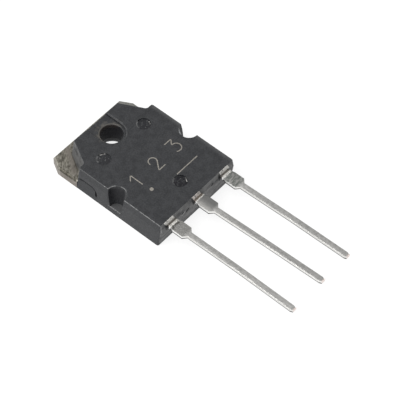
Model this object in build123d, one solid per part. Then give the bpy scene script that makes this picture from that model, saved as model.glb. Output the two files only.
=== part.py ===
from build123d import *

import os
from math import radians, tan

# Power transistor in a three-lead moulded package with a bare metal mounting tab.
# Frame: origin on the back plane under the middle of the die, +Z out of the marked front face,
# +Y towards the mounting hole, leads towards -Y, +X to the right when the front face is read.

# Moulded body
lead_pitch = 5.45  # between neighbouring leads, which sets the width of the whole package
lead_margin = 2.2  # middle of an outer lead to the side of the package
body_height = 4.6  # back plane to front face
side_lean = 0.2  # the front face is narrower than the package by this on each side
front_reach = 15.52  # hole axis to the lead end of the front face
shoulder_setback = 0.77  # hole axis to the step where the body reaches its full width
nose_reach = 2.93  # hole axis to the hole end of the front face
shoulder_width = 1.05  # each step from the front face's full width to the nose
nose_slant = 1.98  # the nose narrows by this on each side
mould_draft = 6.5  # degrees, on every wall and core of the front mould half
end_undercut = 0.46  # the lead end leans back by this from the parting line to the back
plastic_setback = 0.04  # the metal stands proud of the moulded back by this
corner_radius = 0.28  # upright corners at the parting line
nose_root_radius = 0.55  # hollow corners between nose and shoulders
edge_bevel = 0.05  # worn rim of the front face
cut_overrun = 1.0  # how far cutting tools reach past what they cut

# Mounting hole and what is round it
hole_offset = 6.0  # hole axis from the middle of the die
hole_diameter = 3.2
hole_back_diameter = 4.2  # the hole opens out towards the back
hole_rim_radius = 0.22
hole_lining = 0.6  # moulded wall between the hole and the metal at the back
recess_width = 4.0  # shallow channel from the hole to the nose
recess_depth = 0.26

# Marks that the mould leaves
notch_radius = 1.45  # half-round clamp notches in both long sides, at the front face
notch_setback = 7.55  # hole axis to the middle of the notches
pin_mark_diameter = 2.05  # dimples of the ejector pins
pin_mark_depth = 0.13
pin_mark_spread = 8.14  # between the two dimples beside the hole
pin_mark_setback = 2.27  # hole axis to those two dimples
pin_mark_low_setback = 12.48  # hole axis to the third dimple
notch_floor = 1.15  # back plane up to the floors of the notches
relief_length = 3.7  # arched pockets in the long sides, next to the tab
relief_height = 2.75
relief_depth = 0.34  # at the top of a pocket, which runs out towards the back
relief_radius = 1.1
relief_foot = 0.3  # back plane up to where a pocket has run out

# Header: the metal tab and the plate that carries the die
tab_reach = 4.88  # hole axis to the end of the tab
tab_overhang = 0.1  # the tab is wider than the moulding by this on each side
tab_shift = 0.1  # the header sits off the middle of the moulding by this
tab_thickness = 1.4
tab_corner_width = 1.0  # cut corners of the tab
tab_corner_length = 1.76
tab_edge_radius = 0.35  # rolled upper edge left by the press
plate_inset = 1.7  # side of the package in to the side of the plate
plate_setback = 4.92  # lead end of the front face to the inner end of the plate
lock_width = 0.35  # step round the back of the plate that the moulding grips
lock_height = 0.45
riser_width = 2.4  # strip that lifts the middle lead to its level
riser_run = 1.9
riser_flat = 0.35
riser_bend_radius = 0.4

# Leads
lead_thickness = 0.56
lead_drop = 0.7  # front face down to the top of the leads
lead_width = 0.86
lead_length = 21.25  # front edge of the body to the tips
stub_width = 1.6  # bare root beside the body
stub_length = 0.3
wide_width = 2.0
wide_ramp = 0.75
wide_reach = 2.83  # front edge of the body to the neck
neck_length = 0.5
lead_edge_radius = 0.07
tip_length = 0.42
tip_width = 0.5
tip_bevel = 0.12
root_depth = 1.1  # narrow root inside the body
post_width = 3.3  # inner posts of the outer leads, where the bond wires land
post_length = 1.7
post_inset = 0.5  # the posts lean in towards the middle lead
bend_radius = 120.0  # the leads have been handled and are not quite straight
base_mid_drift = 0.09
base_tip_drift = 0.0
collector_mid_drift = 0.28
collector_tip_drift = 0.53
emitter_mid_drift = 0.22
emitter_tip_drift = 0.31
bend_share = 0.46  # place of the bend along the thin part

# Die, its solder and the bond wires
die_size = 5.6
die_thickness = 0.28
solder_margin = 0.12
solder_thickness = 0.06
wire_diameter = 0.32
wire_foot = 0.55
wire_seat_share = 0.3  # part of the wire's radius that the bond has pressed flat
base_pad_shares = (-0.3, -0.3)  # bond places on the die, as parts of its size from its middle
emitter_pad_shares = ((0.12, -0.3), (0.33, -0.3))
base_post_share = 0.0  # landing places across the posts, as parts of the post's width
emitter_post_shares = (-0.16, 0.16)

# Solids that stand on their foot, on their own axis
standing = (Align.CENTER, Align.CENTER, Align.MIN)

# Levels and places worked out from the sizes
hole_y = hole_offset
package_width = 2 * (lead_pitch + lead_margin)
tab_half_width = package_width / 2 + tab_overhang
front_width = package_width - 2 * side_lean
nose_root_width = front_width - 2 * shoulder_width
nose_width = nose_root_width - 2 * nose_slant
plate_width = package_width - 2 * plate_inset
lead_top = body_height - lead_drop
parting_height = lead_top - lead_thickness
draft_slope = tan(radians(mould_draft))
front_flare = (body_height - parting_height) * draft_slope
nose_flare = (body_height - tab_thickness) * draft_slope
end_y = hole_y - front_reach
shoulder_y = hole_y - shoulder_setback
nose_y = hole_y + nose_reach
parting_width = front_width + 2 * front_flare
parting_end_y = end_y - front_flare
tab_root_y = shoulder_y + nose_flare
plate_end_y = end_y + plate_setback
tab_end_y = hole_y + tab_reach
post_y = end_y + root_depth
lead_middle = lead_top - lead_thickness / 2
die_top = tab_thickness + solder_thickness + die_thickness
lining_radius = hole_back_diameter / 2 + hole_lining


def upright_box(width, low_y, high_y, low_z, high_z):
    """A box on the centre line between two places along Y and two levels."""
    middle = (low_y + high_y) / 2
    box = Box(width, high_y - low_y, high_z - low_z, align=standing)
    return Pos(0, middle, low_z) * box


def main_block():
    """The full-width block, drawn in above the parting line and leaning back at the lead end below it."""
    half = package_width / 2
    along = [
        (end_y, body_height),
        (parting_end_y, parting_height),
        (parting_end_y + end_undercut, plastic_setback),
        (tab_root_y, plastic_setback),
        (tab_root_y, tab_thickness),
        (shoulder_y, body_height),
    ]
    across = [
        (front_width / 2, body_height),
        (parting_width / 2, parting_height),
        (half, plastic_setback),
        (-half, plastic_setback),
        (-parting_width / 2, parting_height),
        (-front_width / 2, body_height),
    ]
    side_view = Plane.YZ * make_face(Polyline(*along, close=True))
    end_view = Plane.XZ * make_face(Polyline(*across, close=True))
    from_side = extrude(side_view, amount=package_width, both=True)
    from_end = extrude(end_view, amount=front_reach, both=True)
    return from_side & from_end


def nose():
    """The narrowing end that stands on the tab, round the hole."""
    root_y = shoulder_y - nose_reach
    slant = nose_slant / (nose_y - shoulder_y)
    root_half = nose_root_width / 2 + slant * nose_flare
    corners = [
        (-nose_width / 2, nose_y),
        (nose_width / 2, nose_y),
        (root_half, shoulder_y - nose_flare),
        (root_half, root_y),
        (-root_half, root_y),
        (-root_half, shoulder_y - nose_flare),
    ]
    outline = make_face(Polyline(*corners, close=True))
    foot = Pos(0, 0, tab_thickness) * offset(outline, nose_flare, kind=Kind.INTERSECTION)
    return extrude(foot, amount=body_height - tab_thickness, taper=mould_draft)


def hole_cutter():
    """The mounting hole: round and straight above the tab, opening out through it."""
    shaft = Cylinder(hole_diameter / 2, body_height + cut_overrun, align=standing)
    flare = Cone(hole_back_diameter / 2, hole_diameter / 2, tab_thickness, align=standing)
    return Pos(0, hole_y, 0) * (shaft + flare)


def hole_rim_cutter():
    """Ring that rounds the rim of the hole where it meets the floor of the channel."""
    floor = body_height - recess_depth
    ring_foot = Plane.XZ * Pos((hole_diameter + hole_rim_radius) / 2, floor - hole_rim_radius / 2)
    square = ring_foot * Rectangle(hole_rim_radius, hole_rim_radius)
    bead_place = Plane.XZ * Pos(hole_diameter / 2 + hole_rim_radius, floor - hole_rim_radius)
    section = square - bead_place * Circle(hole_rim_radius)
    return Pos(0, hole_y, 0) * revolve(section, Axis.Z)


def recess_cutter():
    """Shallow channel with a round end under the screw head, open at the nose."""
    floor = body_height - recess_depth
    height = recess_depth + cut_overrun
    round_end = Cylinder(recess_width / 2, height, align=standing)
    run = upright_box(recess_width, hole_y, nose_y + cut_overrun, floor, floor + height)
    return run + Pos(0, hole_y, floor) * round_end


def notch_cutters():
    """Tapered half-round notches in the long sides."""
    depth = body_height - notch_floor
    foot_radius = notch_radius - depth * draft_slope
    core = Cone(foot_radius, notch_radius, depth, align=standing)
    place_y = hole_y - notch_setback
    return [Pos(side * front_width / 2, place_y, notch_floor) * core for side in (-1, 1)]


def pin_mark_cutters():
    """Three shallow round dimples in the front face."""
    tool = Cylinder(pin_mark_diameter / 2, pin_mark_depth, align=(Align.CENTER, Align.CENTER, Align.MAX))
    upper_y = hole_y - pin_mark_setback
    places = [
        (-pin_mark_spread / 2, upper_y),
        (pin_mark_spread / 2, upper_y),
        (0, hole_y - pin_mark_low_setback),
    ]
    return [Pos(x, y, body_height) * tool for x, y in places]


def relief_cutters():
    """Arched pockets in the long sides, deepest under the arch and running out towards the back."""
    half = package_width / 2
    outside = half + cut_overrun
    middle_y = tab_root_y - relief_length / 2
    window = Pos(middle_y, relief_height / 2) * Rectangle(relief_length, relief_height)
    arch = Plane.YZ * fillet(window.vertices().sort_by(Axis.Y)[-2:], relief_radius)
    corners = [
        (half, relief_foot),
        (outside, relief_foot),
        (outside, relief_height),
        (half - relief_depth, relief_height),
    ]
    wedge = Plane.XZ * make_face(Polyline(*corners, close=True))
    pocket = extrude(arch, amount=outside) & extrude(wedge, amount=front_reach, both=True)
    return [pocket, mirror(pocket, Plane.YZ)]


def upright_edges(shape, inner_width, outer_width):
    """Straight rising edges that lie between two distances from the centre line."""
    straight = shape.edges().filter_by(GeomType.LINE)
    rising = [edge for edge in straight if edge.bounding_box().size.Z > corner_radius]
    return [edge for edge in rising if inner_width < 2 * abs(edge.center().X) < outer_width]


def moulded_shell():
    """Main block and nose in one, with rounded corners and hollow corners where they meet."""
    block = main_block()
    above_tab = upright_box(2 * package_width, -front_reach, front_reach, tab_thickness, body_height)
    upper = (block & above_tab) + nose()
    upper = fillet(upright_edges(upper, nose_root_width, front_width), nose_root_radius)
    upper = fillet(upright_edges(upper, front_width, package_width), corner_radius)
    lower = block - above_tab
    lead_end = [edge for edge in upright_edges(lower, front_width, package_width) if edge.center().Y < 0]
    return upper + fillet(lead_end, corner_radius)


def moulded_body(inserts):
    """The black moulding, with the space that the metal and the die take up left out."""
    body = moulded_shell() - notch_cutters() - recess_cutter()
    rim = body.faces().filter_by(Plane.XY).sort_by(Axis.Z)[-1].outer_wire()
    body = chamfer(rim.edges(), edge_bevel)
    lining = Cylinder(lining_radius, tab_thickness - plastic_setback, align=standing)
    body += Pos(0, hole_y, plastic_setback) * lining
    body -= pin_mark_cutters()
    body -= relief_cutters()
    body -= hole_cutter()
    body -= hole_rim_cutter()
    return body - inserts


def tab_outline():
    """Plan of the bare tab, with its cut corners."""
    half = tab_half_width
    corners = [
        (-half, tab_root_y),
        (half, tab_root_y),
        (half, tab_end_y - tab_corner_length),
        (half - tab_corner_width, tab_end_y),
        (-half + tab_corner_width, tab_end_y),
        (-half, tab_end_y - tab_corner_length),
    ]
    return Pos(tab_shift, 0, 0) * make_face(Polyline(*corners, close=True))


def header_plate():
    """Thick stamped plate: the tab outside, the die's seat inside, with the step that locks it in."""
    tab = extrude(tab_outline(), amount=tab_thickness)
    rolled = [
        edge
        for edge in tab.faces().sort_by(Axis.Z)[-1].edges()
        if edge.center().Y > tab_root_y + tab_edge_radius
    ]
    tab = fillet(rolled, tab_edge_radius)
    plate = upright_box(plate_width, plate_end_y, tab_root_y, 0, tab_thickness)
    step_low = -cut_overrun
    inner_width = plate_width - 2 * lock_width
    keep = upright_box(inner_width, plate_end_y + lock_width, tab_root_y, step_low, lock_height)
    step = upright_box(plate_width, plate_end_y, tab_root_y, step_low, lock_height) - keep
    bore = Cylinder(lining_radius, tab_thickness + cut_overrun, align=standing)
    return tab + (plate - step) - Pos(0, hole_y, 0) * bore


def riser():
    """Formed strip from the plate up to the level of the leads."""
    low = tab_thickness - lead_thickness / 2
    start = plate_end_y + riser_flat
    foot = plate_end_y - riser_flat
    head = foot - riser_run
    points = [(0, start, low), (0, foot, low), (0, head, lead_middle), (0, post_y, lead_middle)]
    path = FilletPolyline(*points, radius=riser_bend_radius)
    start_plane = Plane(origin=points[0], x_dir=(1, 0, 0), z_dir=path % 0)
    return sweep(start_plane * Rectangle(riser_width, lead_thickness), path)


def lead_blade(inner_y):
    """Flat root and wide part of a lead, up to its neck, on the centre line."""
    neck_y = end_y - wide_reach
    tinned_y = parting_end_y - stub_length
    right = [
        (stub_width / 2, inner_y),
        (stub_width / 2, tinned_y),
        (wide_width / 2, tinned_y - wide_ramp),
        (wide_width / 2, neck_y),
        (lead_width / 2, neck_y - neck_length),
    ]
    left = [(-x, y) for x, y in reversed(right)]
    plan = make_face(Polyline(*right, *left, close=True))
    blade = Pos(0, 0, lead_top - lead_thickness) * extrude(plan, amount=lead_thickness)
    along = [edge for edge in blade.edges().filter_by(Plane.XY) if abs((edge % 0).Y) > abs((edge % 0).Z)]
    sides = [edge for edge in along if edge.bounding_box().size.Y > lead_edge_radius]
    return fillet(sides, lead_edge_radius)


def lead_leg(mid_drift, tip_drift):
    """Thin part of a lead with the slight bend that handling has left, and its cut tip."""
    start_y = end_y - wide_reach - neck_length
    stop_y = end_y - lead_length
    bend_y = start_y + bend_share * (stop_y - start_y)
    path = FilletPolyline((0, start_y), (mid_drift, bend_y), (tip_drift, stop_y), radius=bend_radius)
    frame = Plane(origin=(0, start_y, 0), x_dir=(1, 0, 0), z_dir=(0, -1, 0))
    section = frame * RectangleRounded(lead_width, lead_thickness, lead_edge_radius)
    leg = sweep(section, Pos(0, 0, 0) * path)
    tip = Plane(origin=(tip_drift, stop_y, 0), x_dir=(1, 0, 0), z_dir=path % 1)
    leg -= tip_trim(tip)
    return Pos(0, 0, lead_middle) * leg


def tip_trim(tip):
    """Wedges that narrow the end of a lead on both sides and bevel its upper edge."""
    half = lead_width / 2
    cut = (lead_width - tip_width) / 2
    height = lead_thickness + cut_overrun
    wedges = []
    for side in (-1, 1):
        corners = [(side * half, -tip_length), (side * (half - cut), 0), (side * half, 0)]
        face = tip * (Plane.XZ * make_face(Polyline(*corners, close=True)))
        wedges.append(extrude(face, amount=height / 2, both=True))
    top = lead_thickness / 2
    corners = [(top, -tip_bevel), (top - tip_bevel, 0), (top, 0)]
    bevel_face = tip * (Plane.YZ * make_face(Polyline(*corners, close=True)))
    wedges.append(extrude(bevel_face, amount=lead_width, both=True))
    return wedges


def header():
    """Tab, plate and middle lead, one piece of copper strip."""
    lead = lead_blade(post_y) + lead_leg(collector_mid_drift, collector_tip_drift)
    return header_plate() + riser() + lead


def outer_lead(side, mid_drift, tip_drift):
    """An outer lead with the inner post for its bond wires."""
    place = side * lead_pitch
    post = upright_box(post_width, post_y, post_y + post_length, lead_top - lead_thickness, lead_top)
    lead = lead_blade(post_y) + lead_leg(mid_drift, tip_drift)
    return Pos(place, 0, 0) * (lead + Pos(-side * post_inset, 0, 0) * post)


def die_solder():
    """Thin solder layer under the die."""
    size = die_size + 2 * solder_margin
    layer = Box(size, size, solder_thickness, align=standing)
    return Pos(0, 0, tab_thickness) * layer


def silicon_die():
    """The square chip in the middle of the plate."""
    chip = Box(die_size, die_size, die_thickness, align=standing)
    return Pos(0, 0, tab_thickness + solder_thickness) * chip


def bond_wire(pad_shares, side, post_share):
    """Wire from a bond place on the die up to an outer lead's post, pressed flat at both ends."""
    radius = wire_diameter / 2
    lift = radius * (1 - wire_seat_share)
    pad_x = pad_shares[0] * die_size
    pad_y = pad_shares[1] * die_size
    post_x = side * (lead_pitch - post_inset) + post_share * post_width
    low = die_top + lift
    high = lead_top + lift
    points = [
        (pad_x, pad_y + wire_foot, low),
        (pad_x, pad_y, low),
        (post_x, post_y + post_length + wire_diameter, high),
        (post_x, post_y + wire_foot, high),
    ]
    path = Polyline(*points)
    section = Plane(origin=points[0], z_dir=path % 0) * Circle(radius)
    tube = sweep(section, path, transition=Transition.RIGHT)
    pressed = upright_box(package_width, post_y, post_y + post_length, parting_height, lead_top)
    return tube - silicon_die() - pressed


def base_wire():
    """Bond wire of the left lead."""
    return bond_wire(base_pad_shares, -1, base_post_share)


def emitter_wires():
    """Pair of bond wires of the right lead."""
    pairs = zip(emitter_pad_shares, emitter_post_shares)
    return Compound(children=[bond_wire(pad, 1, post) for pad, post in pairs])


def build():
    """All pieces by name."""
    metal = {
        "header_tab": header(),
        "base_lead": outer_lead(-1, base_mid_drift, base_tip_drift),
        "emitter_lead": outer_lead(1, emitter_mid_drift, emitter_tip_drift),
        "die_solder": die_solder(),
        "silicon_die": silicon_die(),
        "base_wire": base_wire(),
        "emitter_wires": emitter_wires(),
    }
    return {"moulded_body": moulded_body(list(metal.values())), **metal}


os.makedirs("parts", exist_ok=True)
for node, shape in build().items():
    export_step(shape, f"parts/{node}.step")
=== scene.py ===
"""Looks of the power transistor: finishes for its CAD pieces, and the marks and tin rims that lie on them."""

import logging
import math
from dataclasses import dataclass
from enum import Enum
from functools import cached_property
from typing import Sequence, Union

import bmesh
import bpy
from mathutils import Matrix, Vector


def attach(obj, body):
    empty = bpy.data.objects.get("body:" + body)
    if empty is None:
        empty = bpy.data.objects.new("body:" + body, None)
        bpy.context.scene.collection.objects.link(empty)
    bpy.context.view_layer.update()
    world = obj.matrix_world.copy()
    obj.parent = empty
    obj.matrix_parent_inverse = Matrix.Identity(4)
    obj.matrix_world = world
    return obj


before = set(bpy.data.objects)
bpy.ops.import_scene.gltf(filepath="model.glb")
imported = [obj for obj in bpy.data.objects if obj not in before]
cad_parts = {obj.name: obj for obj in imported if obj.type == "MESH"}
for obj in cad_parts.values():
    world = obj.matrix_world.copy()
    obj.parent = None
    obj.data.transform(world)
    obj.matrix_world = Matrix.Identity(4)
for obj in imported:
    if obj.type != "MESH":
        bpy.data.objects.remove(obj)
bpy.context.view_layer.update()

LOG = logging.getLogger("transistor")
MM = 0.001
BODY = "root"
FRONT_LEVEL = 4.6
LEAD_PITCH = 5.45

Socket = bpy.types.NodeSocket
Feed = Union[Socket, float, Sequence[float]]
Feeds = dict[Union[str, int], Feed]
Layer = tuple[Socket, Feed]
Tone = tuple[float, float, float, float]
Point = tuple[float, float, float]
Span = tuple[float, float]

EVEN = (1.0, 1.0, 1.0)
IN_PLAN = (1.0, 1.0, 0.0)
FROM_SIDE = (0.0, 1.0, 1.0)
FROM_END = (1.0, 0.0, 1.0)


class Slot(Enum):
    """Material slots of the record."""

    MOULDING = "moulding"
    PLATED = "plated_copper"


class Calc(Enum):
    """Sums that the Math and Vector Math nodes do."""

    ADD = "ADD"
    SUBTRACT = "SUBTRACT"
    MULTIPLY = "MULTIPLY"
    DIVIDE = "DIVIDE"
    HIGHEST = "MAXIMUM"
    SIZE = "ABSOLUTE"
    SCALE = "SCALE"
    DOT = "DOT_PRODUCT"
    LENGTH = "LENGTH"
    GAP = "DISTANCE"


class Round(Enum):
    """Parts of a round mask."""

    RING = "Ring"
    DISC = "Disc"


def tone(red: int, green: int, blue: int) -> Tone:
    """Turns a display colour into linear light.

    Args:
        red: red share from 0 to 255.
        green: green share from 0 to 255.
        blue: blue share from 0 to 255.

    Returns:
        The linear colour with full alpha.
    """
    shares = [value / 255 for value in (red, green, blue)]
    light = [s / 12.92 if s <= 0.04045 else ((s + 0.055) / 1.055) ** 2.4 for s in shares]
    return (light[0], light[1], light[2], 1.0)


def metres(sizes: Sequence[float]) -> list[float]:
    """Turns mm into metres."""
    return [MM * size for size in sizes]


@dataclass(frozen=True)
class Patchy:
    """A broken cover: cells in a metre, the noise where a patch begins and is full, stretch and strength."""

    scale: float
    start: float
    stop: float
    stretch: Point = EVEN
    strength: float = 1.0


@dataclass(frozen=True)
class Stroke:
    """A bent line to paint along: corners and the width where it fades in mm, strength, and how it is broken."""

    points: tuple[Point, ...]
    width: float
    strength: float = 1.0
    cover: Patchy | None = None


class NodeGraph:
    """Adds and links shader nodes in one tree."""

    def __init__(self, tree: bpy.types.NodeTree) -> None:
        """Empties the tree and starts on it."""
        self.tree = tree
        tree.nodes.clear()

    def add(self, kind: str, feeds: Feeds | None = None, **settings: object) -> bpy.types.Node:
        """Adds a node.

        Args:
            kind: the node's type name.
            feeds: what its inputs take, by name or number.
            settings: properties to set on it.

        Returns:
            The new node.
        """
        node = self.tree.nodes.new(kind)
        for name, value in settings.items():
            setattr(node, name, value)
        for name, source in (feeds or {}).items():
            self.feed(node.inputs[name], source)
        return node

    def feed(self, socket: Socket, source: Feed) -> None:
        """Links a socket to a source, or sets it to a constant.

        Args:
            socket: the input to feed.
            source: an output, or a number or list of numbers.
        """
        if isinstance(source, bpy.types.NodeSocket):
            self.tree.links.new(source, socket)
        else:
            socket.default_value = source

    def calc(self, way: Calc, first: Feed, second: Feed = 0.0) -> Socket:
        """Does one sum with two numbers."""
        return self.add("ShaderNodeMath", {0: first, 1: second}, operation=way.value).outputs[0]

    def chain(self, way: Calc, *values: Feed) -> Socket:
        """Does one sum along a row of values.

        Args:
            way: which sum.
            values: one value or more.

        Returns:
            The result.
        """
        total = values[0]
        for value in values[1:]:
            total = self.calc(way, total, value)
        return total

    def vector(self, way: Calc, first: Feed, second: Feed = (0.0, 0.0, 0.0)) -> Socket:
        """Does one sum with two vectors; a dot product, length or gap is a number, and the rest are vectors."""
        node = self.add("ShaderNodeVectorMath", {0: first, 1: second}, operation=way.value)
        return node.outputs["Value" if way in (Calc.DOT, Calc.LENGTH, Calc.GAP) else "Vector"]

    def remap(self, value: Feed, start: Feed, stop: Feed, low: Feed = 0.0, high: Feed = 1.0) -> Socket:
        """Eases a value that runs from start to stop into one that runs from low to high."""
        feeds = dict(enumerate((value, start, stop, low, high)))
        return self.add("ShaderNodeMapRange", feeds, interpolation_type="SMOOTHSTEP").outputs[0]

    def mix(self, share: Feed, first: Feed, second: Feed) -> Socket:
        """Mixes two colours by the share of the second."""
        return self.add("ShaderNodeMix", {0: share, 6: first, 7: second}, data_type="RGBA").outputs[2]

    def between(self, share: Feed, first: Feed, second: Feed) -> Socket:
        """Mixes two numbers by the share of the second."""
        return self.add("ShaderNodeMix", {0: share, 2: first, 3: second}, data_type="FLOAT").outputs[0]

    def noise(self, vector: Feed, scale: Feed, detail: float) -> Socket:
        """Adds soft noise about 0.5, with cells in a metre and a number of finer layers."""
        return self.add("ShaderNodeTexNoise", {"Vector": vector, "Scale": scale, "Detail": detail}).outputs[0]

    def axes(self, vector: Feed) -> tuple[Socket, ...]:
        """Splits a vector into its three numbers."""
        return tuple(self.add("ShaderNodeSeparateXYZ", {0: vector}).outputs)


class Effects:
    """Node groups that several finishes share, each built once."""

    fine_detail: float = 2.0
    coarse_detail: float = 3.0
    coarse_share: float = 0.22

    def __init__(self) -> None:
        """Builds the groups."""
        self.box_mask = self._box_mask()
        self.ring_mask = self._ring_mask()
        self.stroke_mask = self._stroke_mask()
        self.grain = self._grain()
        self.patches = self._patches()

    @staticmethod
    def _group(
        name: str, vectors: Sequence[str], numbers: Sequence[str], outputs: Sequence[str]
    ) -> tuple[NodeGraph, bpy.types.NodeOutputs, bpy.types.NodeInputs]:
        """Starts a group.

        Args:
            name: the group's name.
            vectors: its vector inputs.
            numbers: its number inputs.
            outputs: its number outputs.

        Returns:
            Its graph, what its inputs give, and what its outputs take.
        """
        tree = bpy.data.node_groups.new(name, "ShaderNodeTree")
        graph = NodeGraph(tree)
        rows = [(label, "INPUT", "NodeSocketVector") for label in vectors]
        rows += [(label, "INPUT", "NodeSocketFloat") for label in numbers]
        rows += [(label, "OUTPUT", "NodeSocketFloat") for label in outputs]
        for label, way, kind in rows:
            tree.interface.new_socket(name=label, in_out=way, socket_type=kind)
        return graph, graph.add("NodeGroupInput").outputs, graph.add("NodeGroupOutput").inputs

    def _box_mask(self) -> bpy.types.NodeTree:
        """Gives 1 inside a box and fades to 0 over a soft margin.

        Returns:
            The group.
        """
        graph, gives, takes = self._group("box_mask", ["Vector", "Centre", "Half"], ["Soft"], ["Mask"])
        offset = graph.vector(Calc.SUBTRACT, gives["Vector"], gives["Centre"])
        outside = graph.axes(graph.vector(Calc.SUBTRACT, graph.vector(Calc.SIZE, offset), gives["Half"]))
        graph.feed(takes["Mask"], graph.remap(graph.chain(Calc.HIGHEST, *outside), gives["Soft"], 0.0))
        return graph.tree

    def _ring_mask(self) -> bpy.types.NodeTree:
        """Gives a ring and a disc about an upright axis.

        Returns:
            The group.
        """
        graph, gives, takes = self._group("ring_mask", ["Vector", "Centre"], ["Radius", "Width"], ["Ring", "Disc"])
        offset = graph.vector(Calc.SUBTRACT, gives["Vector"], gives["Centre"])
        reach = graph.vector(Calc.LENGTH, graph.vector(Calc.MULTIPLY, offset, IN_PLAN))
        out = graph.calc(Calc.SUBTRACT, reach, gives["Radius"])
        graph.feed(takes["Ring"], graph.remap(graph.calc(Calc.SIZE, out), gives["Width"], 0.0))
        graph.feed(takes["Disc"], graph.remap(out, gives["Width"], 0.0))
        return graph.tree

    def _stroke_mask(self) -> bpy.types.NodeTree:
        """Gives 1 on a straight stroke and fades to 0 at its width; axes that aren't kept don't count.

        Returns:
            The group.
        """
        vectors = ["Vector", "Start", "Stop", "Keep"]
        graph, gives, takes = self._group("stroke_mask", vectors, ["Width"], ["Mask"])
        ways = [graph.vector(Calc.SUBTRACT, gives[end], gives["Start"]) for end in ("Vector", "Stop")]
        reach, run = [graph.vector(Calc.MULTIPLY, way, gives["Keep"]) for way in ways]
        parts = {0: graph.vector(Calc.DOT, reach, run), 1: graph.vector(Calc.DOT, run, run)}
        share = graph.add("ShaderNodeMath", parts, operation=Calc.DIVIDE.value, use_clamp=True).outputs[0]
        nearest = graph.add("ShaderNodeVectorMath", {0: run, "Scale": share}, operation=Calc.SCALE.value)
        gap = graph.vector(Calc.GAP, reach, nearest.outputs[0])
        graph.feed(takes["Mask"], graph.remap(gap, gives["Width"], 0.0))
        return graph.tree

    def _grain(self) -> bpy.types.NodeTree:
        """Gives fine and coarse grain.

        Returns:
            The group.
        """
        graph, gives, takes = self._group("grain", ["Vector"], ["Scale"], ["Fine", "Coarse"])
        wide = graph.calc(Calc.MULTIPLY, gives["Scale"], self.coarse_share)
        graph.feed(takes["Fine"], graph.noise(gives["Vector"], gives["Scale"], self.fine_detail))
        graph.feed(takes["Coarse"], graph.noise(gives["Vector"], wide, self.coarse_detail))
        return graph.tree

    def _patches(self) -> bpy.types.NodeTree:
        """Gives patches where noise is high.

        Returns:
            The group.
        """
        graph, gives, takes = self._group("patches", ["Vector"], ["Scale", "Start", "Stop"], ["Mask"])
        cloud = graph.noise(gives["Vector"], gives["Scale"], self.coarse_detail)
        graph.feed(takes["Mask"], graph.remap(cloud, gives["Start"], gives["Stop"]))
        return graph.tree


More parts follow.
